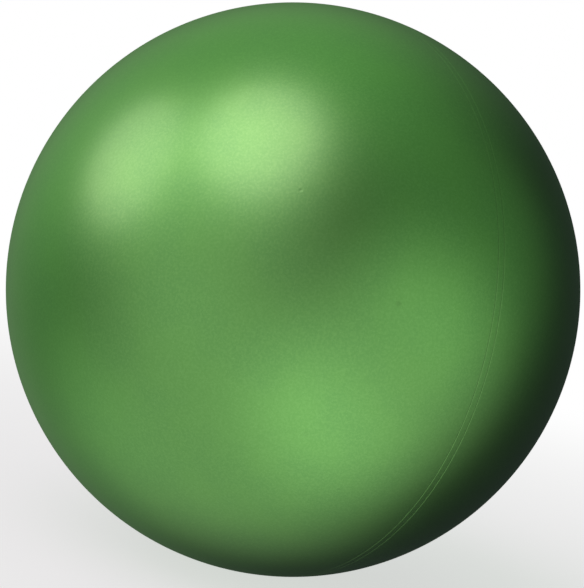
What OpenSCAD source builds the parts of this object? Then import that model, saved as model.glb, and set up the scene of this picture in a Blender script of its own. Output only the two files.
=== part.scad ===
// Playground rubber ball with a smooth metallic cover and a needle valve.
// The valve axis lies along +X and the seam runs round the YZ plane.
// The origin is the centre of the ball. Units are millimetres.

/* [Ball] */
// Outer diameter of the inflated ball
ball_d = 216; // [150:1:330]
// Thickness of the outer rubber cover
cover_t = 1.4; // [1.2:0.1:3]
// Thickness of the wound thread layer
winding_t = 0.5; // [0.3:0.1:1]
// Thickness of the bladder that holds the air
bladder_t = 0.8; // [0.6:0.1:1.5]
// Film of rubber cement between two layers
cement_t = 0.05; // [0.02:0.01:0.1]

/* [Seam] */
// Width of the strip between the cover halves, at the surface
strip_w = 2.7; // [2:0.1:6]
// Width of the strip's lap under the cover halves
lap_w = 14; // [8:1:24]
// Thickness of that lap
lap_t = 0.5; // [0.3:0.1:0.8]
// Radius of the fine groove on each side of the strip
groove_r = 0.4; // [0.2:0.1:0.8]
// Width of the tape over the bladder's own seam
tape_w = 16; // [10:1:24]
// Thickness of that tape
tape_t = 0.4; // [0.2:0.1:0.8]

/* [Valve body] */
// Diameter of the stem that reaches the ball's surface
stem_d = 11; // [9:0.5:16]
// Diameter of the flange that bonds to the bladder
flange_d = 40; // [24:1:50]
// Thickness of that flange
flange_t = 1.2; // [0.8:0.1:2]
// Diameter of the boss inside the bladder
boss_d = 15; // [13:0.5:20]
// Length of the valve body, from its face inwards
body_len = 14; // [13:0.5:20]
// Depth of the valve's face below the ball's surface
valve_recess = 0.3; // [0:0.1:0.5]
// Diameter of the patch that fills the winding's window
patch_d = 50; // [44:1:64]

/* [Valve core] */
// Diameter of the core's head
head_d = 7.4; // [6.5:0.1:8]
// Thickness of the core's head
head_t = 1.6; // [1:0.1:2.5]
// Diameter of the core's shank
shank_d = 5.2; // [4.5:0.1:6]
// Overall length of the core
core_len = 11; // [9:0.5:11]
// Diameter of the channel that takes the inflating needle
needle_d = 2; // [1.6:0.1:2.4]
// Depth of that channel, down to the closed slit
needle_depth = 7; // [5:0.5:8]

/* [Hidden] */

$fn = 96;
groove_fn = 48;

// Radii of the layers, from the surface inwards
cover_ro = ball_d / 2;
cover_ri = cover_ro - cover_t;
winding_ro = cover_ri - cement_t;
winding_ri = winding_ro - winding_t;
bladder_ro = winding_ri - cement_t;
bladder_ri = bladder_ro - bladder_t;
lining_ro = bladder_ri - cement_t;  // tape and flange, cemented inside the bladder

// Heights along the valve axis
face_z = cover_ro - valve_recess;
rim_z = sqrt(pow(cover_ro, 2) - pow(stem_d / 2, 2));

// Details
rubber_gap = 0.05;      // room round the stem, and running room round the core
groove_rise = 0.3;      // the groove's centre stands this far above the surface
rim_chamfer = 0.4;      // bevel round the stem's hole in the cover
mouth_chamfer = 0.5;    // funnel at the needle channel's mouth
nose_chamfer = 0.8;     // bevel at the core's inner end
air_hole_d = 2.6;       // way from the core's slit to the inside of the ball
over = 1;               // cutters run this far past what they cut

stem_hole_d = stem_d + 2 * rubber_gap;

// Colours
cover_green = [0.26, 0.62, 0.18];
strip_green = [0.24, 0.58, 0.17];
valve_green = [0.10, 0.24, 0.09];
core_black = [0.05, 0.05, 0.05];
nylon_white = [0.88, 0.87, 0.82];
butyl_black = [0.09, 0.09, 0.09];
patch_grey = [0.30, 0.30, 0.28];

// Turns a shape built round Z so that its +Z end faces the valve, along +X
module on_valve_axis() rotate([0, 90, 0]) children();

// Hollow ball between two radii
module ball_shell(ro, ri) {
    difference() {
        sphere(r = ro);
        sphere(r = ri);
    }
}

// Part of a hollow ball between two heights
module shell_band(ro, ri, z0, z1) {
    intersection() {
        ball_shell(ro, ri);
        translate([0, 0, z0]) cylinder(r = ro + over, h = z1 - z0);
    }
}

// Round piece of a hollow ball, centred on the valve axis
module shell_disc(ro, ri, d) {
    intersection() {
        ball_shell(ro, ri);
        cylinder(d = d, h = ro + over);
    }
}

// Cylinder along the valve axis between two heights
module rod(d, z0, z1) {
    translate([0, 0, z0]) cylinder(d = d, h = z1 - z0);
}

// Cone that opens outwards at 45 degrees from diameter d at height z
module funnel(d, z) {
    translate([0, 0, z]) cylinder(d1 = d, d2 = d + 4 * over, h = 2 * over);
}

// Cutters for the fine groove on each side of the seam strip
module seam_grooves() {
    groove_z = strip_w / 2 + cement_t / 2;
    ring_r = sqrt(pow(cover_ro + groove_rise, 2) - pow(groove_z, 2));
    for (side = [-1, 1])
        translate([0, 0, side * groove_z])
            rotate_extrude()
                translate([ring_r, 0])
                    circle(r = groove_r, $fn = groove_fn);
}

// One half of the outer cover, thinned inside to make room for the strip's lap
module cover_half() {
    difference() {
        shell_band(cover_ro, cover_ri, strip_w / 2 + cement_t, cover_ro + over);
        shell_band(cover_ri + lap_t + cement_t, cover_ri - over, 0, lap_w / 2 + cement_t);
        seam_grooves();
    }
}

module cover_valve_half() {
    color(cover_green) on_valve_axis() difference() {
        cover_half();
        rod(stem_hole_d, 0, cover_ro + over);
        funnel(stem_hole_d, rim_z - rim_chamfer);
    }
}

module cover_plain_half() {
    color(cover_green) on_valve_axis() mirror([0, 0, 1]) cover_half();
}

// T section: the band shows at the surface, the lap bonds under both halves
module seam_strip() {
    color(strip_green) on_valve_axis() difference() {
        union() {
            shell_band(cover_ro, cover_ri, -strip_w / 2, strip_w / 2);
            shell_band(cover_ri + lap_t, cover_ri, -lap_w / 2, lap_w / 2);
        }
        seam_grooves();
    }
}

// Nylon thread wound over the bladder, as a shell of its wound thickness
module thread_winding() {
    color(nylon_white) on_valve_axis() difference() {
        ball_shell(winding_ro, winding_ri);
        rod(patch_d + 2 * rubber_gap, 0, cover_ro);
    }
}

// Fills the window that the winding leaves round the stem
module valve_patch() {
    color(patch_grey) on_valve_axis() difference() {
        shell_disc(winding_ro, winding_ri, patch_d);
        rod(stem_hole_d, 0, cover_ro);
    }
}

module bladder_half() {
    shell_band(bladder_ro, bladder_ri, cement_t / 2, bladder_ro + over);
}

module bladder_valve_half() {
    color(butyl_black) on_valve_axis() difference() {
        bladder_half();
        rod(stem_hole_d, 0, cover_ro);
    }
}

module bladder_plain_half() {
    color(butyl_black) on_valve_axis() mirror([0, 0, 1]) bladder_half();
}

module bladder_seam_tape() {
    color(butyl_black) on_valve_axis()
        shell_band(lining_ro, lining_ro - tape_t, -tape_w / 2, tape_w / 2);
}

// Stepped seat for the core, with the air hole below it
module core_seat() {
    rod(head_d + 2 * rubber_gap, face_z - head_t - rubber_gap, cover_ro);
    rod(shank_d + 2 * rubber_gap, face_z - core_len - rubber_gap, cover_ro);
    rod(air_hole_d, 0, cover_ro);
}

// Stem, flange and boss in one moulding
module valve_body() {
    color(valve_green) on_valve_axis() difference() {
        union() {
            intersection() {
                sphere(r = face_z);
                rod(stem_d, lining_ro - over, cover_ro);
            }
            shell_disc(lining_ro, lining_ro - flange_t, flange_d);
            rod(boss_d, face_z - body_len, lining_ro - flange_t / 2);
        }
        core_seat();
    }
}

// Soft insert that closes round the needle; it pulls straight out for replacement
module valve_core() {
    foot_z = face_z - core_len;
    color(core_black) on_valve_axis() difference() {
        intersection() {
            sphere(r = face_z);
            union() {
                rod(head_d, face_z - head_t, cover_ro);
                rod(shank_d, foot_z + nose_chamfer, face_z - head_t / 2);
                translate([0, 0, foot_z])
                    cylinder(d1 = shank_d - 2 * nose_chamfer, d2 = shank_d, h = nose_chamfer);
            }
        }
        rod(needle_d, face_z - needle_depth, cover_ro);
        funnel(needle_d, face_z - mouth_chamfer);
    }
}

cover_valve_half();
cover_plain_half();
seam_strip();
thread_winding();
bladder_valve_half();
bladder_plain_half();
bladder_seam_tape();
valve_body();
valve_patch();
valve_core();
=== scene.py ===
"""Playground rubber ball with a metallic green cover: its looks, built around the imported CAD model."""

import math
import random

import bmesh
import bpy
from mathutils import Matrix, Vector


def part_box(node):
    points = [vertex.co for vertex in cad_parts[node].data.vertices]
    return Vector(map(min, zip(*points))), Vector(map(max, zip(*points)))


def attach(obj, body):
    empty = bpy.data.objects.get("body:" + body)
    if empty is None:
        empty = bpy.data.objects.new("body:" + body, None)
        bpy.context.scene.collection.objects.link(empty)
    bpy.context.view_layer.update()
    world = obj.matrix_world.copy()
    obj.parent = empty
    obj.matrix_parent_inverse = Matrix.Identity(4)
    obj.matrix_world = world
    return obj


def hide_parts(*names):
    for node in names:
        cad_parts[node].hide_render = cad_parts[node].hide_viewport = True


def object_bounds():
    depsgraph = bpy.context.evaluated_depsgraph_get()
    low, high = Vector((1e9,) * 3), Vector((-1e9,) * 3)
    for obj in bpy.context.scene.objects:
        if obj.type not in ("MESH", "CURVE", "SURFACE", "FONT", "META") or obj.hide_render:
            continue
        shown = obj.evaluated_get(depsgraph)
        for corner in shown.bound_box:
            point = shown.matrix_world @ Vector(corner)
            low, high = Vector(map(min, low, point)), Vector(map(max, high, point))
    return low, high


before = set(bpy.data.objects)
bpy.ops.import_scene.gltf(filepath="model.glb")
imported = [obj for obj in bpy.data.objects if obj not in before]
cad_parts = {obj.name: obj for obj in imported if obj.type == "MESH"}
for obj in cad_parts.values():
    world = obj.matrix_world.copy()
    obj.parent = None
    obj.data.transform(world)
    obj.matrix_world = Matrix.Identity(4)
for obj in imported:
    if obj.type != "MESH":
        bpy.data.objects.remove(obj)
cad_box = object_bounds()

MM = 0.001
BALL_R = -cad_box[0].x

# ---------------------------------------------------------------- camera

VIEW_AZIMUTH = -37.6     # degrees round the ball from -Y
VIEW_ELEVATION = 3.8
VIEW_ROLL = 12.5         # the ball's +Z leans this far to the right of the picture
VIEW_DISTANCE = 4.8 * BALL_R
VIEW_LENS = 82.6         # mm on a 36 mm sensor
AIM_LEFT, AIM_DOWN = 0.4 * MM, 1.6 * MM     # the view's centre, beside the ball's own


def from_angles(azimuth, elevation):
    """Unit vector towards an azimuth and elevation in degrees. Azimuth 0 is -Y, and 90 is +X."""
    a, e = math.radians(azimuth), math.radians(elevation)
    return Vector((math.sin(a) * math.cos(e), -math.cos(a) * math.cos(e), math.sin(e)))


def make_camera():
    back = from_angles(VIEW_AZIMUTH, VIEW_ELEVATION)
    level_right = Vector((0, 0, 1)).cross(back).normalized()
    level_up = back.cross(level_right)
    roll = math.radians(VIEW_ROLL)
    right = level_right * math.cos(roll) + level_up * math.sin(roll)
    up = level_up * math.cos(roll) - level_right * math.sin(roll)
    aim = -right * AIM_LEFT - up * AIM_DOWN
    data = bpy.data.cameras.new("camera")
    data.sensor_width = 36
    data.lens = VIEW_LENS
    camera = bpy.data.objects.new("camera", data)
    turn = Matrix((right, up, back)).transposed()
    camera.matrix_world = Matrix.Translation(aim + back * VIEW_DISTANCE) @ turn.to_4x4()
    bpy.context.scene.collection.objects.link(camera)
    bpy.context.scene.camera = camera


make_camera()

# ---------------------------------------------------------------- node helpers


class Shader:
    """A node tree, with short calls for the nodes used here."""

    def __init__(self, tree, output="ShaderNodeOutputMaterial"):
        self.nodes = tree.nodes
        self.links = tree.links
        self.nodes.clear()
        self.output = self.nodes.new(output)
        self.place = self.nodes.new("ShaderNodeTexCoord").outputs["Object"]

    def put(self, value, socket):
        """Links an output socket, or sets a plain value."""
        if isinstance(value, bpy.types.NodeSocket):
            self.links.new(value, socket)
        else:
            socket.default_value = value

    def finish(self, shader):
        self.links.new(shader, self.output.inputs["Surface"])

    def surface(self, **sockets):
        """Principled shader on the output. Sockets are named with _ for a space."""
        shader = self.nodes.new("ShaderNodeBsdfPrincipled")
        for name, value in sockets.items():
            self.put(value, shader.inputs[name.replace("_", " ")])
        self.finish(shader.outputs[0])

    def shader(self, kind, **sockets):
        node = self.nodes.new(kind)
        for name, value in sockets.items():
            self.put(value, node.inputs[name])
        return node.outputs[0]

    def mix_shaders(self, share, first, second):
        node = self.nodes.new("ShaderNodeMixShader")
        for value, socket in zip((share, first, second), node.inputs):
            self.put(value, socket)
        return node.outputs[0]

    def math(self, operation, *values, clamp=False):
        node = self.nodes.new("ShaderNodeMath")
        node.operation = operation
        node.use_clamp = clamp
        for value, socket in zip(values, node.inputs):
            self.put(value, socket)
        return node.outputs[0]

    def vector(self, operation, *values, output="Vector"):
        node = self.nodes.new("ShaderNodeVectorMath")
        node.operation = operation
        for value, socket in zip(values, node.inputs):
            self.put(value, socket)
        return node.outputs[output]

    def noise(self, size, detail=2.0, roughness=0.5, shift=0.0):
        """Noise from 0 to 1 whose features are about size metres across."""
        mapping = self.nodes.new("ShaderNodeMapping")
        mapping.inputs["Scale"].default_value = (1 / size, 1 / size, 1 / size)
        mapping.inputs["Location"].default_value = (shift, shift, shift)
        self.links.new(self.place, mapping.inputs["Vector"])
        node = self.nodes.new("ShaderNodeTexNoise")
        node.inputs["Scale"].default_value = 1
        node.inputs["Detail"].default_value = detail
        node.inputs["Roughness"].default_value = roughness
        self.links.new(mapping.outputs[0], node.inputs["Vector"])
        return node.outputs["Fac"]

    def spread(self, value, low, high, to_low=0.0, to_high=1.0):
        """Maps low..high smoothly to to_low..to_high and holds it outside."""
        node = self.nodes.new("ShaderNodeMapRange")
        node.interpolation_type = "SMOOTHSTEP"
        for number, socket in zip((value, low, high, to_low, to_high), node.inputs):
            self.put(number, socket)
        return node.outputs[0]

    def blend(self, share, first, second):
        """Mixes two colours by share."""
        node = self.nodes.new("ShaderNodeMix")
        node.data_type = "RGBA"
        self.put(share, node.inputs["Factor"])
        colours = [socket for socket in node.inputs if socket.type == "RGBA"]
        for colour, socket in zip((first, second), colours):
            self.put((*colour, 1) if isinstance(colour, tuple) else colour, socket)
        return next(socket for socket in node.outputs if socket.type == "RGBA")

    def bump(self, height, distance):
        """Normal from a height of 0 to 1 that stands for distance metres."""
        node = self.nodes.new("ShaderNodeBump")
        node.inputs["Distance"].default_value = distance
        self.links.new(height, node.inputs["Height"])
        return node.outputs[0]

    def axis(self, name):
        """One coordinate of the surface point, in metres."""
        node = self.nodes.new("ShaderNodeSeparateXYZ")
        self.links.new(self.place, node.inputs[0])
        return node.outputs[name]

    def radius(self):
        """Distance of the surface point from the ball's centre, in metres."""
        return self.vector("LENGTH", self.place, output="Value")

    def off_axis(self):
        """Distance of the surface point from the valve axis, in metres."""
        flat = self.vector("MULTIPLY", self.place, (0, 1, 1))
        return self.vector("LENGTH", flat, output="Value")

    def attribute(self, name):
        node = self.nodes.new("ShaderNodeAttribute")
        node.attribute_name = name
        return node.outputs["Fac"]


def new_material(name):
    material = bpy.data.materials.new(name)
    material.use_nodes = True
    return material, Shader(material.node_tree)


# ---------------------------------------------------------------- dimensions, as in the CAD part

COVER_T = 1.4 * MM
WINDING_T = 0.5 * MM
BLADDER_T = 0.8 * MM
CEMENT = 0.05 * MM

STRIP_HALF = 1.35 * MM
LAP_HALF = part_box("seam_strip")[1].x
LAP_T = 0.5 * MM
SEAM_HALF = STRIP_HALF + CEMENT / 2         # the groove's centre line
GROOVE_R = 0.4 * MM
GROOVE_RISE = 0.36 * MM                     # paint has filled the CAD groove to this depth
TAPE_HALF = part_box("bladder_seam_tape")[1].x
TAPE_T = 0.4 * MM

STEM_R = 5.5 * MM
FLANGE_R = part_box("valve_body")[1].y
FLANGE_T = 1.2 * MM
BOSS_R = 7.5 * MM
FACE_R = BALL_R - 0.3 * MM                  # the valve's face is part of this sphere
BODY_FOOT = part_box("valve_body")[0].x
PATCH_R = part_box("valve_patch")[1].y

HEAD_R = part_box("valve_core")[1].y
HEAD_T = 1.6 * MM
SHANK_R = 2.6 * MM
CORE_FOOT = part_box("valve_core")[0].x
NEEDLE_R = 1.0 * MM
NEEDLE_END = FACE_R - 7 * MM
AIR_HOLE_R = 1.3 * MM
ROOM = 0.05 * MM                            # round the stem, and round the core

COVER_RI = BALL_R - COVER_T
WINDING_RO = COVER_RI - CEMENT
WINDING_RI = WINDING_RO - WINDING_T
BLADDER_RO = WINDING_RI - CEMENT
BLADDER_RI = BLADDER_RO - BLADDER_T
LINING_RO = BLADDER_RI - CEMENT

# ---------------------------------------------------------------- materials

GREEN = (0.17, 0.41, 0.13)
GREEN_DEEP = (0.16, 0.39, 0.13)
GREEN_PALE = (0.21, 0.47, 0.16)
GREEN_SPARK = (0.300, 0.600, 0.250)
GREEN_GREYED = (0.42, 0.56, 0.34)
GREEN_DARK = (0.045, 0.085, 0.035)
WEAVE = 1.1 * MM         # of the patch, from one thread to the next but one


def metallic_rubber(name, green):
    """Satin metallic paint on rubber: flake grain, faint mottling, a faint paler band along each seam groove,
    small marks.
    """
    material, s = new_material(name)
    mottle = s.noise(22 * MM, detail=3)
    flake = s.noise(0.16 * MM, detail=1)
    clumps = s.noise(0.8 * MM, detail=2)
    colour = s.blend(s.spread(mottle, 0.35, 0.65), green, GREEN_DEEP)
    colour = s.blend(s.spread(clumps, 0.35, 0.75, 0, 0.55), colour, GREEN_PALE)
    colour = s.blend(s.spread(flake, 0.62, 0.80, 0, 0.8), colour, GREEN_SPARK)
    # a faint, patchy paler band along each seam groove
    off_groove = s.math("ABSOLUTE", s.math("SUBTRACT", s.math("ABSOLUTE", s.axis("X")), SEAM_HALF))
    patchy = s.spread(s.noise(38 * MM, detail=1, shift=4), 0.32, 0.6, 0.6, 1)
    paler_by_groove = s.math("MULTIPLY", s.spread(off_groove, 0.3 * MM, 0.9 * MM, 0.05, 0), patchy)
    colour = s.blend(paler_by_groove, colour, GREEN_GREYED)
    mark = s.attribute("mark")
    # darker green inside the pits of marks whose tone is above 0, paler where it is below 0
    colour = s.blend(s.spread(mark, 0, 1), colour, GREEN_DARK)
    colour = s.blend(s.spread(mark, 0, -1), colour, GREEN_GREYED)
    s.surface(
        Base_Color=colour,
        Metallic=1.0,
        Roughness=s.spread(mottle, 0.3, 0.7, 0.33, 0.35),
        Coat_Weight=0.15,
        Coat_Roughness=0.18,
        Normal=s.bump(flake, 0.004 * MM),
    )
    return material


def moulded_rubber(name, colour, dust_colour, dust, roughness):
    """Plain moulded rubber: fine mould grain, faint flow marks, and talc that lies in patches."""
    material, s = new_material(name)
    grain = s.noise(0.35 * MM, detail=3)
    flow = s.noise(26 * MM, detail=3, roughness=0.45)
    patches = s.spread(flow, 0.3, 0.8)
    powder = s.spread(s.noise(0.8 * MM, detail=4), 0.2, 0.7, 0.5, 1)
    talc = s.math("MULTIPLY", s.math("MULTIPLY", patches, powder), dust)
    deep = tuple(c * 0.78 for c in colour)
    tone = s.blend(s.spread(grain, 0.3, 0.7), deep, colour)
    s.surface(
        Base_Color=s.blend(talc, tone, dust_colour),
        Roughness=s.math("ADD", s.spread(grain, 0.3, 0.7, roughness - 0.04, roughness + 0.05),
                         s.math("MULTIPLY", talc, 0.25)),
        Specular_IOR_Level=0.4,
        Normal=s.bump(grain, 0.02 * MM),
    )
    return material


def ribbed_tape():
    """Rubber tape with a fine cloth print across it."""
    material, s = new_material("tape_rubber")
    around = s.math("ARCTAN2", s.axis("Z"), s.axis("Y"))
    warp = s.math("SINE", s.math("MULTIPLY", around, 1100))
    weft = s.math("SINE", s.math("MULTIPLY", s.axis("X"), 2 * math.pi / (0.6 * MM)))
    cloth = s.spread(s.math("MULTIPLY", warp, weft), -1, 1)
    dust = s.spread(s.noise(6 * MM, detail=4), 0.45, 0.75, 0, 0.35)
    colour = s.blend(cloth, (0.030, 0.030, 0.031), (0.055, 0.055, 0.056))
    s.surface(
        Base_Color=s.blend(dust, colour, (0.30, 0.29, 0.27)),
        Roughness=s.spread(s.noise(0.5 * MM), 0.3, 0.7, 0.62, 0.78),
        Normal=s.bump(cloth, 0.03 * MM),
    )
    return material


def wound_nylon():
    """Off-white nylon thread with twisted fibres, over a layer soaked in amber cement, with painted shade in
    the hollows between threads.
    """
    material, s = new_material("nylon_thread")
    fibre = s.noise(0.28 * MM, detail=2)
    stain = s.spread(s.noise(16 * MM, detail=3), 0.35, 0.7)
    thread = s.blend(s.spread(fibre, 0.3, 0.7), (0.60, 0.58, 0.51), (0.80, 0.79, 0.73))
    thread = s.blend(s.math("MULTIPLY", stain, 0.5), thread, (0.52, 0.40, 0.24))
    # painted shade: darker brown wherever the bands mark the hollows between threads
    thread = s.blend(s.spread(s.attribute("gap_shade"), 0.3, 1), thread, (0.20, 0.16, 0.10))
    cement = s.blend(s.spread(fibre, 0.3, 0.7), (0.22, 0.15, 0.08), (0.34, 0.25, 0.14))
    lies_under = s.spread(s.radius(), WINDING_RI + 0.20 * MM, WINDING_RI + 0.28 * MM, 1, 0)
    s.surface(
        Base_Color=s.blend(lies_under, thread, cement),
        Roughness=s.spread(lies_under, 0, 1, 0.62, 0.38),
        Sheen_Weight=0.15,
        Normal=s.bump(fibre, 0.03 * MM),
    )
    return material


def woven_patch():
    """Grey cotton fabric, its weave lit and shaded thread by thread, with a little rubber struck through."""
    material, s = new_material("patch_fabric")
    warp = s.math("SINE", s.math("MULTIPLY", s.axis("Y"), 2 * math.pi / WEAVE))
    weft = s.math("SINE", s.math("MULTIPLY", s.axis("Z"), 2 * math.pi / WEAVE))
    over = s.spread(s.math("MULTIPLY", warp, weft), -0.4, 0.4)
    fibre = s.noise(0.2 * MM, detail=2)
    thread = s.blend(over, (0.20, 0.20, 0.185), (0.27, 0.268, 0.25))
    thread = s.blend(s.spread(fibre, 0.35, 0.7, 0, 0.5), thread, (0.36, 0.355, 0.33))
    struck = s.spread(s.noise(7 * MM, detail=3), 0.5, 0.7, 0, 0.7)
    s.surface(
        Base_Color=s.blend(struck, thread, (0.07, 0.07, 0.066)),
        Roughness=s.spread(fibre, 0.3, 0.7, 0.8, 0.92),
        Sheen_Weight=0.2,
        Normal=s.bump(fibre, 0.03 * MM),
    )
    return material


def core_rubber():
    """Soft black rubber, glossy with silicone, scuffed grey where the needle goes in."""
    material, s = new_material("core_rubber")
    grain = s.noise(0.3 * MM, detail=3)
    mouth = s.spread(s.off_axis(), NEEDLE_R * 1.1, NEEDLE_R * 2.2, 1, 0)
    scuffed = s.math("MULTIPLY", mouth, s.spread(s.noise(0.5 * MM, detail=4, shift=2), 0.4, 0.7))
    tone = s.blend(s.spread(grain, 0.3, 0.7), (0.012, 0.012, 0.013), (0.022, 0.022, 0.023))
    s.surface(
        Base_Color=s.blend(s.math("MULTIPLY", scuffed, 0.7), tone, (0.17, 0.165, 0.16)),
        Roughness=s.spread(scuffed, 0, 1, 0.34, 0.62),
        Specular_IOR_Level=0.5,
        Normal=s.bump(grain, 0.012 * MM),
    )
    return material


TALC = (0.46, 0.45, 0.42)

cover_paint = metallic_rubber("cover_paint", GREEN)
strip_paint = metallic_rubber("strip_paint", tuple(c * 0.98 for c in GREEN))
valve_moulding = moulded_rubber("valve_moulding", (0.050, 0.135, 0.042), TALC, 0.18, 0.46)
bladder_butyl = moulded_rubber("bladder_butyl", (0.016, 0.016, 0.017), TALC, 0.30, 0.62)
tape_material = ribbed_tape()
thread_material = wound_nylon()
patch_material = woven_patch()
core_material = core_rubber()

# ---------------------------------------------------------------- outlines


def at_x(radius, x):
    """Angle from +X, in degrees, of the point of a sphere at x."""
    return math.degrees(math.acos(x / radius))


def at_distance(radius, distance):
    """Angle from +X, in degrees, of the point of a sphere at a distance from the valve axis."""
    return math.degrees(math.asin(distance / radius))


def on_sphere(radius, distance):
    """Height x of the point of a sphere at a distance from the valve axis."""
    return math.sqrt(radius ** 2 - distance ** 2)


def arc(radius, start, end, step):
    """Points (x, distance from the axis) on a circle about the origin. Angles are from +X, in degrees."""
    count = max(1, math.ceil(abs(end - start) / step))
    angles = [math.radians(start + (end - start) * i / count) for i in range(count + 1)]
    return [(radius * math.cos(a), radius * math.sin(a)) for a in angles]


FILLET_STEPS = 4
FILLET_SHARE = 0.45      # a fillet takes at most this much of a side
GUARD = 2.5              # a side keeps its direction from this many fillets off


def rounded(outline):
    """Rounds the corners of a closed outline that hold a third number, the fillet."""
    corners = [(Vector(corner[:2]), corner[2] if len(corner) > 2 else 0) for corner in outline]
    points = []
    for i, (corner, fillet) in enumerate(corners):
        if not fillet:
            points.append(corner)
            continue
        before = corners[i - 1][0] - corner
        after = corners[(i + 1) % len(corners)][0] - corner
        cut = min(fillet, FILLET_SHARE * before.length, FILLET_SHARE * after.length)
        start, end = corner + before.normalized() * cut, corner + after.normalized() * cut
        if before.length > 2.5 * GUARD * cut:
            points.append(corner + before.normalized() * GUARD * cut)
        for k in range(FILLET_STEPS + 1):
            t = k / FILLET_STEPS
            points.append(start * (1 - t) ** 2 + corner * 2 * t * (1 - t) + end * t ** 2)
        if after.length > 2.5 * GUARD * cut:
            points.append(corner + after.normalized() * GUARD * cut)
    return [tuple(point) for point in points]


def mirrored(half):
    """A half outline on the +X side, and its mirror image."""
    return half + [(-corner[0], *corner[1:]) for corner in reversed(half)]


# ---------------------------------------------------------------- meshes

COLUMNS = 384            # vertices round the valve axis: 6 doubled six times
MARK = "mark"


def ring_count(distance, columns, shortest):
    """Halves the columns near the axis until no side is shorter than shortest."""
    if distance < 1e-7:
        return 1
    while columns > 6 and 2 * math.pi * distance / columns < shortest:
        columns //= 2
    return columns


def revolve(profile, columns=COLUMNS, shortest=0.0):
    """Turns a closed profile of (x, distance) points round the X axis."""
    mesh = bmesh.new()
    rings = []
    for x, distance in profile:
        count = ring_count(distance, columns, shortest)
        turns = [2 * math.pi * i / count for i in range(count)]
        rings.append([mesh.verts.new((x, distance * math.cos(t), distance * math.sin(t))) for t in turns])
    for first, second in zip(rings, rings[1:] + rings[:1]):
        if len(first) < len(second):
            first, second = second, first
        ratio = len(first) // len(second)
        for i in range(len(first) if len(first) > 1 else 0):
            near, far = second[i // ratio % len(second)], second[(i + 1) // ratio % len(second)]
            mesh.faces.new(dict.fromkeys((first[i], first[(i + 1) % len(first)], far, near)))
    bmesh.ops.recalc_face_normals(mesh, faces=mesh.faces)
    return mesh


def finish_piece(name, mesh):
    data = bpy.data.meshes.new(name)
    mesh.to_mesh(data)
    mesh.free()
    data.shade_smooth()
    data.set_sharp_from_angle(angle=math.radians(35))
    piece = bpy.data.objects.new(name, data)
    bpy.context.scene.collection.objects.link(piece)
    return piece


def stand_in(node, suffix, mesh, material, body="ball"):
    """The mesh takes a CAD node's place, in a material."""
    piece = finish_piece(f"{node}_{suffix}", mesh)
    piece.data.materials.append(material)
    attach(piece, body)
    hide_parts(node)


# ---------------------------------------------------------------- cover and seam

LIP_FILLET = 0.10 * MM
WALL_FILLET = 0.12 * MM
RIM_CHAMFER = 0.4 * MM
SKIN_STEP = 1.0          # degrees between rings of the cover's skin
INNER_STEP = 3.0
SKIN_SIDE = 0.9 * MM     # shortest side of the skin's faces near the pole


def groove_lip(side):
    """Height x of the groove's edge on the surface. Side 1 is away from the seam's middle, -1 towards it."""
    centre = BALL_R + GROOVE_RISE
    reach = math.acos((centre ** 2 + GROOVE_R ** 2 - BALL_R ** 2) / (2 * centre * GROOVE_R))
    return SEAM_HALF + GROOVE_R * math.sin(side * reach - math.asin(SEAM_HALF / centre))


def groove(start, end, steps=5):
    """Points along the groove's round floor from one x to another, without the first."""
    ring_r = math.sqrt((BALL_R + GROOVE_RISE) ** 2 - SEAM_HALF ** 2)
    heights = [start + (end - start) * (i + 1) / steps for i in range(steps)]
    return [(x, ring_r - math.sqrt(GROOVE_R ** 2 - (x - SEAM_HALF) ** 2)) for x in heights]


def cover_seam_edge():
    """Outline of a cover half from its skin over the groove, down the wall and along the lap's recess."""
    lip, wall, lap_r = groove_lip(1), STRIP_HALF + CEMENT, COVER_RI + LAP_T + CEMENT
    lap = LAP_HALF + CEMENT
    return [
        (lip, on_sphere(BALL_R, lip), LIP_FILLET),
        *groove(lip, wall)[1:],
        (wall, on_sphere(lap_r, wall), WALL_FILLET),
        *arc(lap_r, at_x(lap_r, wall + 1 * MM), at_x(lap_r, lap - 1 * MM), INNER_STEP),
        (lap, on_sphere(lap_r, lap), WALL_FILLET),
        (lap, on_sphere(COVER_RI, lap), WALL_FILLET),
    ]


def cover_plain_outline():
    lip_end = at_x(BALL_R, groove_lip(1) + 0.6 * MM)
    inner_start = at_x(COVER_RI, LAP_HALF + 1 * MM)
    return (arc(BALL_R, 0, lip_end, SKIN_STEP) + cover_seam_edge()
            + arc(COVER_RI, inner_start, 0, INNER_STEP))


def cover_valve_outline():
    """As the plain half, with the stem's hole through its pole and a bevel round the hole."""
    hole = STEM_R + ROOM
    bevel_foot = on_sphere(BALL_R, STEM_R) - RIM_CHAMFER
    across, short = bevel_foot + hole, bevel_foot ** 2 + hole ** 2 - BALL_R ** 2
    bevel = (math.sqrt(across ** 2 - 2 * short) - across) / 2
    lip_end = at_x(BALL_R, groove_lip(1) + 0.6 * MM)
    skin_start = at_distance(BALL_R, hole + bevel + 0.5 * MM)
    inner_start = at_x(COVER_RI, LAP_HALF + 1 * MM)
    inner_end = at_distance(COVER_RI, hole + 0.6 * MM)
    return [
        (bevel_foot, hole, WALL_FILLET),
        (bevel_foot + bevel, hole + bevel, WALL_FILLET),
        *arc(BALL_R, skin_start, lip_end, SKIN_STEP),
        *cover_seam_edge(),
        *arc(COVER_RI, inner_start, inner_end, INNER_STEP),
        (on_sphere(COVER_RI, hole), hole, WALL_FILLET),
    ]


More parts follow.
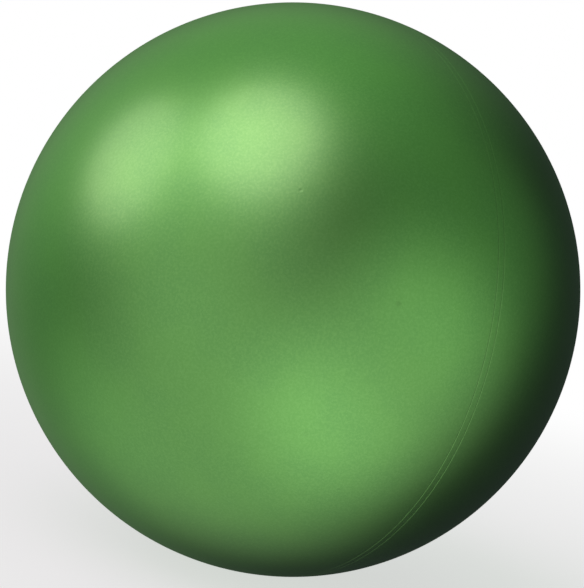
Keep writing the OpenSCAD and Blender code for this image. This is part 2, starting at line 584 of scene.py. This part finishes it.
# Small marks in the paint: azimuth, elevation, radius in mm, depth in mm, tone (dark above 0, pale below)
PLAIN_MARKS = (
    (-20, 5, 1.4, 0.03, 0.26),
    (-30, -20, 1.5, 0.02, 0.15),
    (-20, -30, 0.8, 0.03, 0.12),
    (-40, 20, 0.8, 0.03, 0.12),
    (-80, -40, 0.6, 0.03, -0.16),
    (-128, 12, 0.9, 0.06, 0.30),
    (-152, -31, 0.7, 0.04, 0.22),
    (-96, 58, 0.7, 0.03, -0.16),
)
STRIP_MARKS = (
    (0, -35, 0.6, 0.03, -0.25),
)
VALVE_MARKS = (
    (24, 38, 0.9, 0.06, 0.30),
    (58, -17, 0.7, 0.04, 0.22),
    (112, 44, 0.7, 0.03, -0.16),
    (139, -8, 0.9, 0.06, 0.28),
    (166, 29, 0.7, 0.04, 0.20),
)


def skin_faces(mesh, centre, reach):
    """Faces of the smooth outer skin within reach of a point."""
    return [face for face in mesh.faces
            if (face.calc_center_median() - centre).length < reach
            and all(abs(vert.co.length - BALL_R) < 0.01 * MM for vert in face.verts)]


def press_mark(mesh, layer, azimuth, elevation, radius, depth, tone):
    """Refines the skin round a mark, then presses a small round pit with a faint rim into it."""
    centre = from_angles(azimuth, elevation) * BALL_R
    for reach, cuts in ((2.2 * MM, 3), (1.5 * radius + 0.2 * MM, 2)):
        edges = {edge for face in skin_faces(mesh, centre, reach) for edge in face.edges}
        made = bmesh.ops.subdivide_edges(mesh, edges=list(edges), cuts=cuts, use_grid_fill=True)
        for vert in {part for part in made["geom"] if isinstance(part, bmesh.types.BMVert)}:
            vert.co = vert.co.normalized() * BALL_R
    for vert in mesh.verts:
        share = (vert.co - centre).length / radius
        if share > 1.6:
            continue
        pit = max(0.0, 1 - share ** 2) ** 2
        rim = 0.12 * math.exp(-((share - 1.15) / 0.18) ** 2)
        vert.co -= vert.co.normalized() * depth * (pit - rim)
        vert[layer] = tone * max(0.0, 1 - share ** 4) ** 2


def press_marks(mesh, marks):
    layer = mesh.verts.layers.float.new(MARK)
    for azimuth, elevation, radius, depth, tone in marks:
        press_mark(mesh, layer, azimuth, elevation, radius * MM, depth * MM, tone)


def make_cover(node, side, outline, marks, shortest):
    profile = [(side * x, distance) for x, distance in rounded(outline)]
    mesh = revolve(profile, shortest=shortest)
    press_marks(mesh, marks)
    stand_in(node, "skin", mesh, cover_paint)


def make_seam_strip():
    """T section: the band shows between the grooves, and the lap bonds under both cover halves."""
    lip, lap_r = groove_lip(-1), COVER_RI + LAP_T
    half = [
        *arc(BALL_R, at_x(BALL_R, 0.15 * MM), at_x(BALL_R, lip - 0.3 * MM), 0.25),
        (lip, on_sphere(BALL_R, lip), LIP_FILLET),
        *groove(lip, STRIP_HALF)[1:],
        (STRIP_HALF, on_sphere(lap_r, STRIP_HALF), WALL_FILLET),
        *arc(lap_r, at_x(lap_r, STRIP_HALF + 1 * MM), at_x(lap_r, LAP_HALF - 1 * MM), INNER_STEP),
        (LAP_HALF, on_sphere(lap_r, LAP_HALF), WALL_FILLET),
        (LAP_HALF, on_sphere(COVER_RI, LAP_HALF), WALL_FILLET),
        *arc(COVER_RI, at_x(COVER_RI, LAP_HALF - 1 * MM), at_x(COVER_RI, 0.5 * MM), INNER_STEP),
    ]
    mesh = revolve(rounded(mirrored(half)))
    press_marks(mesh, STRIP_MARKS)
    stand_in("seam_strip", "band", mesh, strip_paint)


make_cover("cover_valve_half", 1, cover_valve_outline(), VALVE_MARKS, 0)
make_cover("cover_plain_half", -1, cover_plain_outline(), PLAIN_MARKS, SKIN_SIDE)
make_seam_strip()

# ---------------------------------------------------------------- layers under the cover

BANDS = 84               # bundles of thread, each laid once round the ball
BAND_STEPS = 96
BAND_LIFT = 0.27 * MM    # the lowest bundles lie this far out in the layer
BAND_SPREAD = 0.09 * MM
# Three threads side by side: distance across the bundle and height in mm, and 1 in the hollows between
# threads, where shade is painted
BAND_SECTION = (
    (-1.2, -0.02, 1), (-0.8, 0.12, 0), (-0.4, 0.02, 1), (0, 0.12, 0), (0.4, 0.02, 1), (0.8, 0.12, 0),
    (1.2, -0.02, 1), (0.9, -0.05, 1), (-0.9, -0.05, 1),
)
GAP_SHADE = "gap_shade"


def lay_band(mesh, layer, pole, reach, radius):
    """One bundle of thread along the circle at an angle of reach from its pole."""
    side = pole.orthogonal().normalized()
    other = pole.cross(side)
    rings = []
    for step in range(BAND_STEPS):
        turn = 2 * math.pi * step / BAND_STEPS
        outward = pole * math.cos(reach) + (side * math.cos(turn) + other * math.sin(turn)) * math.sin(reach)
        across = outward.cross(other * math.cos(turn) - side * math.sin(turn))
        ring = []
        for offset, height, gap_shade in BAND_SECTION:
            towards = (outward * radius + across * offset * MM).normalized()
            ring.append(mesh.verts.new(towards * (radius + height * MM)))
            # share of painted shade in the hollows between threads
            ring[-1][layer] = gap_shade
        rings.append(ring)
    for first, second in zip(rings, rings[1:] + rings[:1]):
        for k in range(len(first)):
            n = (k + 1) % len(first)
            mesh.faces.new((first[k], first[n], second[n], second[k]))


def make_winding():
    """Bundles of thread cross at all angles over a cemented base, and pass beside the valve's window."""
    window = PATCH_R + ROOM
    base = [
        (on_sphere(WINDING_RI, window), window, 0.08 * MM),
        (on_sphere(WINDING_RI + 0.2 * MM, window), window, 0.08 * MM),
        *arc(WINDING_RI + 0.2 * MM, at_distance(WINDING_RI, window) + 1, 180, INNER_STEP),
        *arc(WINDING_RI, 180, at_distance(WINDING_RI, window) + 1, INNER_STEP),
    ]
    mesh = revolve(rounded(base), columns=192, shortest=0.8 * MM)
    # each vertex's share of painted shade between the threads
    layer = mesh.verts.layers.float.new(GAP_SHADE)
    keep_off = math.asin(window / WINDING_RI) + 1.4 * MM / WINDING_RI
    rng = random.Random(5)
    for _ in range(BANDS):
        pole = Vector((rng.gauss(0, 1), rng.gauss(0, 1), rng.gauss(0, 1))).normalized()
        pole.x = abs(pole.x)
        from_valve = math.acos(pole.x)
        reach = math.pi / 2 if from_valve < math.pi / 2 - keep_off else from_valve - keep_off
        lay_band(mesh, layer, pole, reach, WINDING_RI + BAND_LIFT + BAND_SPREAD * rng.random())
    bmesh.ops.recalc_face_normals(mesh, faces=mesh.faces)
    stand_in("thread_winding", "bands", mesh, thread_material)


def make_patch():
    """Round fabric patch, with its threads going over and under each other."""
    hole = STEM_R + ROOM
    inner_edge, outer_edge = hole + 0.3 * MM, PATCH_R - 0.3 * MM
    step = math.degrees(0.36 * MM / WINDING_RO)
    outline = [
        (on_sphere(WINDING_RI, hole), hole, 0.1 * MM),
        (on_sphere(WINDING_RO, hole), hole, 0.1 * MM),
        *arc(WINDING_RO, at_distance(WINDING_RO, inner_edge), at_distance(WINDING_RO, outer_edge), step),
        (on_sphere(WINDING_RO, PATCH_R), PATCH_R, 0.15 * MM),
        (on_sphere(WINDING_RI, PATCH_R), PATCH_R, 0.15 * MM),
        *arc(WINDING_RI, at_distance(WINDING_RI, outer_edge), at_distance(WINDING_RI, inner_edge), 1),
    ]
    mesh = revolve(rounded(outline), shortest=0.3 * MM)
    for vert in mesh.verts:
        if vert.co.length < WINDING_RO - 0.1 * MM:
            continue
        weave = math.sin(2 * math.pi * vert.co.y / WEAVE) * math.sin(2 * math.pi * vert.co.z / WEAVE)
        vert.co -= vert.co.normalized() * 0.06 * MM * (1 - weave)
    stand_in("valve_patch", "weave", mesh, patch_material)


def make_bladder(node, side, hole):
    """Thin half shell with a rounded seam edge. The valve half has a hole for the stem."""
    edge = CEMENT / 2
    outer_start = at_distance(BLADDER_RO, hole + 0.4 * MM) if hole else 0
    inner_end = at_distance(BLADDER_RI, hole + 0.4 * MM) if hole else 0
    outline = [
        *arc(BLADDER_RO, outer_start, at_x(BLADDER_RO, 3 * MM), 1.5),
        (edge, on_sphere(BLADDER_RO, edge), 0.15 * MM),
        (edge, on_sphere(BLADDER_RI, edge), 0.1 * MM),
        *arc(BLADDER_RI, at_x(BLADDER_RI, 1 * MM), inner_end, 1.5),
    ]
    if hole:
        outline = [(on_sphere(BLADDER_RO, hole), hole, 0.15 * MM), *outline,
                   (on_sphere(BLADDER_RI, hole), hole, 0.15 * MM)]
    profile = [(side * x, distance) for x, distance in rounded(outline)]
    mesh = revolve(profile, columns=192, shortest=1.2 * MM if not hole else 0)
    stand_in(node, "shell", mesh, bladder_butyl)


def make_tape():
    """Band with feathered edges and low ribs along its inner face."""
    inner = LINING_RO - TAPE_T
    ribs = 14
    ribbed = []
    for i in range(ribs * 6):
        x = (TAPE_HALF - 1 * MM) * (1 - i / (ribs * 6))
        depth = 0.05 * MM * (1 + math.cos(x / (TAPE_HALF - 1 * MM) * ribs * math.pi))
        ribbed.append((x, on_sphere(inner + depth, x)))
    half = [
        *arc(LINING_RO, at_x(LINING_RO, 0.5 * MM), at_x(LINING_RO, TAPE_HALF - 0.6 * MM), 1.5),
        (TAPE_HALF, on_sphere(LINING_RO, TAPE_HALF), 0.1 * MM),
        (TAPE_HALF, on_sphere(LINING_RO - 0.12 * MM, TAPE_HALF), 0.05 * MM),
        (TAPE_HALF - 0.7 * MM, on_sphere(inner, TAPE_HALF - 0.7 * MM), 0.15 * MM),
        *ribbed,
    ]
    mesh = revolve(rounded(mirrored(half)), columns=192)
    stand_in("bladder_seam_tape", "ribbed", mesh, tape_material)


make_winding()
make_patch()
make_bladder("bladder_valve_half", 1, STEM_R + ROOM)
make_bladder("bladder_plain_half", -1, 0)
make_tape()

# ---------------------------------------------------------------- valve

VALVE_COLUMNS = 192


def make_valve_body():
    """Stem with a bead round its seat, flange with bonding ridges on its outer face, and boss."""
    seat_r, shank_hole = HEAD_R + ROOM, SHANK_R + ROOM
    seat_floor, seat_foot = FACE_R - HEAD_T - ROOM, CORE_FOOT - ROOM
    bead = [(on_sphere(FACE_R, r * MM) + rise * MM, r * MM, 0.06 * MM)
            for r, rise in ((4.25, 0), (4.40, 0.10), (4.65, 0.10), (4.80, 0))]
    flange_in = LINING_RO - FLANGE_T
    flange_start = at_distance(LINING_RO, STEM_R + 1 * MM)
    flange_end = at_distance(LINING_RO, FLANGE_R - 1 * MM)
    ridges = []
    for r in (9.0, 11.5, 14.0, 16.5):
        for offset, depth in ((-0.45, 0), (-0.2, 0.18), (0.2, 0.18), (0.45, 0)):
            distance = (r + offset) * MM
            ridges.append((on_sphere(flange_in + depth * MM, distance), distance, 0.08 * MM))
    outline = [
        (on_sphere(FACE_R, seat_r), seat_r, 0.12 * MM),
        *bead,
        (on_sphere(FACE_R, STEM_R), STEM_R, 0.25 * MM),
        (on_sphere(LINING_RO, STEM_R), STEM_R),
        *arc(LINING_RO, flange_start, flange_end, 1),
        (on_sphere(LINING_RO, FLANGE_R), FLANGE_R, 0.2 * MM),
        (on_sphere(flange_in, FLANGE_R), FLANGE_R, 0.5 * MM),
        *reversed(ridges),
        (on_sphere(flange_in, BOSS_R), BOSS_R, 0.6 * MM),
        (BODY_FOOT, BOSS_R, 0.7 * MM),
        (BODY_FOOT, AIR_HOLE_R, 0.25 * MM),
        (seat_foot, AIR_HOLE_R, 0.1 * MM),
        (seat_foot, shank_hole, 0.1 * MM),
        (seat_floor, shank_hole, 0.1 * MM),
        (seat_floor, seat_r, 0.1 * MM),
    ]
    mesh = revolve(rounded(outline), columns=VALVE_COLUMNS)
    stand_in("valve_body", "moulding", mesh, valve_moulding)


def make_valve_core():
    """Head with a ring groove, waisted shank with a bevelled nose, and the needle's channel with a funnel."""
    funnel_r = NEEDLE_R + 0.49 * MM
    face = [(on_sphere(FACE_R, r * MM) - dip * MM, r * MM, 0.05 * MM)
            for r, dip in ((1.95, 0), (2.10, 0.14), (2.35, 0.14), (2.50, 0))]
    waists = []
    for x in (4.6, 6.4, 8.2):
        for offset, depth in ((0.45, 0), (0.2, 0.2), (-0.2, 0.2), (-0.45, 0)):
            waists.append((FACE_R - (x - offset) * MM, SHANK_R - depth * MM, 0.08 * MM))
    outline = [
        (NEEDLE_END - 0.35 * MM, 0),
        (NEEDLE_END, NEEDLE_R * 0.75, 0.15 * MM),
        (NEEDLE_END + 0.4 * MM, NEEDLE_R, 0.15 * MM),
        (FACE_R - 0.5 * MM, NEEDLE_R, 0.2 * MM),
        (on_sphere(FACE_R, funnel_r), funnel_r, 0.12 * MM),
        *face,
        (on_sphere(FACE_R, HEAD_R), HEAD_R, 0.25 * MM),
        (FACE_R - HEAD_T, HEAD_R, 0.15 * MM),
        (FACE_R - HEAD_T, SHANK_R, 0.12 * MM),
        *waists,
        (CORE_FOOT + 0.8 * MM, SHANK_R, 0.15 * MM),
        (CORE_FOOT, SHANK_R - 0.8 * MM, 0.15 * MM),
        (CORE_FOOT, 0),
    ]
    mesh = revolve(rounded(outline), columns=VALVE_COLUMNS)
    stand_in("valve_core", "insert", mesh, core_material, body="valve_core")


make_valve_body()
make_valve_core()

# ---------------------------------------------------------------- stage

FLOOR_NEAR, FLOOR_FAR = 0.05, 0.9           # the floor turns from shaded to plain white between these
FLOOR_GLOW = 0.62                           # share of plain white right under the ball
FLOOR_PAINT = (0.86, 0.79, 1.00, 1)         # makes up for the tinted light, so that the floor looks neutral


def make_floor():
    """Pale floor that fades to plain white a little way from the ball, and doesn't hide it from below."""
    material, s = new_material("floor")
    across = s.vector("LENGTH", s.place, output="Value")
    lit = s.shader("ShaderNodeBsdfDiffuse", Color=FLOOR_PAINT)
    white = s.shader("ShaderNodeEmission", Strength=1.0)
    pale = s.mix_shaders(s.spread(across, FLOOR_NEAR, FLOOR_FAR, FLOOR_GLOW, 1), lit, white)
    from_below = s.nodes.new("ShaderNodeNewGeometry").outputs["Backfacing"]
    s.finish(s.mix_shaders(from_below, pale, s.shader("ShaderNodeBsdfTransparent")))
    mesh = bmesh.new()
    bmesh.ops.create_circle(mesh, cap_ends=True, radius=8, segments=96)
    floor = finish_piece("floor", mesh)
    floor.location.z = -BALL_R
    floor.data.materials.append(material)
    floor.visible_glossy = False


LIGHT_DISTANCE = 2.5
# Azimuth, elevation, half width, half height and turn in degrees, and radiance
KEY = (-75, 54, 20, 24, 35, 1.85)
SIDE = (-122, 26, 21, 17, -40, 1.6)
LAMP_TINT = (1, 0.63, 0.84)


def softbox(name, azimuth, elevation, half_width, half_height, turn, radiance):
    """Soft light that faces the ball. Its place and half sizes are angles seen from the ball, in degrees."""
    width, height = (2 * LIGHT_DISTANCE * math.tan(math.radians(h)) for h in (half_width, half_height))
    data = bpy.data.lights.new(name, "AREA")
    data.shape = "ELLIPSE"
    data.size, data.size_y = width, height
    data.energy = radiance * math.pi * (math.pi * width * height / 4)
    data.color = LAMP_TINT
    light = bpy.data.objects.new(name, data)
    towards = from_angles(azimuth, elevation)
    across = Vector((0, 0, 1)).cross(towards).normalized()
    facing = Matrix((across, towards.cross(across), towards)).transposed().to_4x4()
    spin = Matrix.Rotation(math.radians(turn), 4, "Z")
    light.matrix_world = Matrix.Translation(towards * LIGHT_DISTANCE) @ facing @ spin
    light.visible_camera = False
    bpy.context.scene.collection.objects.link(light)


ROOM_DIM = (0.03, 0.03, 0.04)
PALE = (0.95, 1.00, 0.78)
GREENISH = (0.65, 1.00, 0.52)
GLOW_CORE = 0.3                             # share of a glow's radius at full brightness
# What the ball reflects of the studio: azimuth, elevation, radius in degrees, brightness and tint
CEILING = (-145, 60, 80, 0.55, GREENISH)
PALE_FLOOR = (-60, -60, 75, 0.7, PALE)
LEFT_WALL = (-80, 20, 60, 0.6, PALE)
FRONT_WALL = (5, -20, 65, 0.7, PALE)
BACK_WALL = (-160, -20, 60, 0.3, GREENISH)
RIGHT_WALL = (30, 25, 60, 0.25, GREENISH)
SURFACES = (CEILING, PALE_FLOOR, LEFT_WALL, FRONT_WALL, BACK_WALL, RIGHT_WALL)


def make_world():
    """White to the camera. The ball and the floor see a dim room with soft glows round it."""
    world = bpy.data.worlds.new("studio")
    bpy.context.scene.world = world
    world.use_nodes = True
    s = Shader(world.node_tree, "ShaderNodeOutputWorld")
    light = ROOM_DIM
    for azimuth, elevation, radius, brightness, tint in SURFACES:
        facing = s.vector("DOT_PRODUCT", s.place, from_angles(azimuth, elevation), output="Value")
        angle = s.math("ARCCOSINE", facing)
        glow = s.spread(angle, math.radians(radius * GLOW_CORE), math.radians(radius), brightness, 0)
        light = s.vector("ADD", light, s.vector("MULTIPLY", glow, tint))
    room = s.shader("ShaderNodeBackground", Strength=1.0, Color=light)
    seen = s.shader("ShaderNodeBackground", Strength=1.0, Color=(1, 1, 1, 1))
    rays = s.nodes.new("ShaderNodeLightPath").outputs["Is Camera Ray"]
    s.finish(s.mix_shaders(rays, room, seen))


make_floor()
softbox("key", *KEY)
softbox("side", *SIDE)
make_world()
bpy.context.scene.view_settings.view_transform = "Standard"
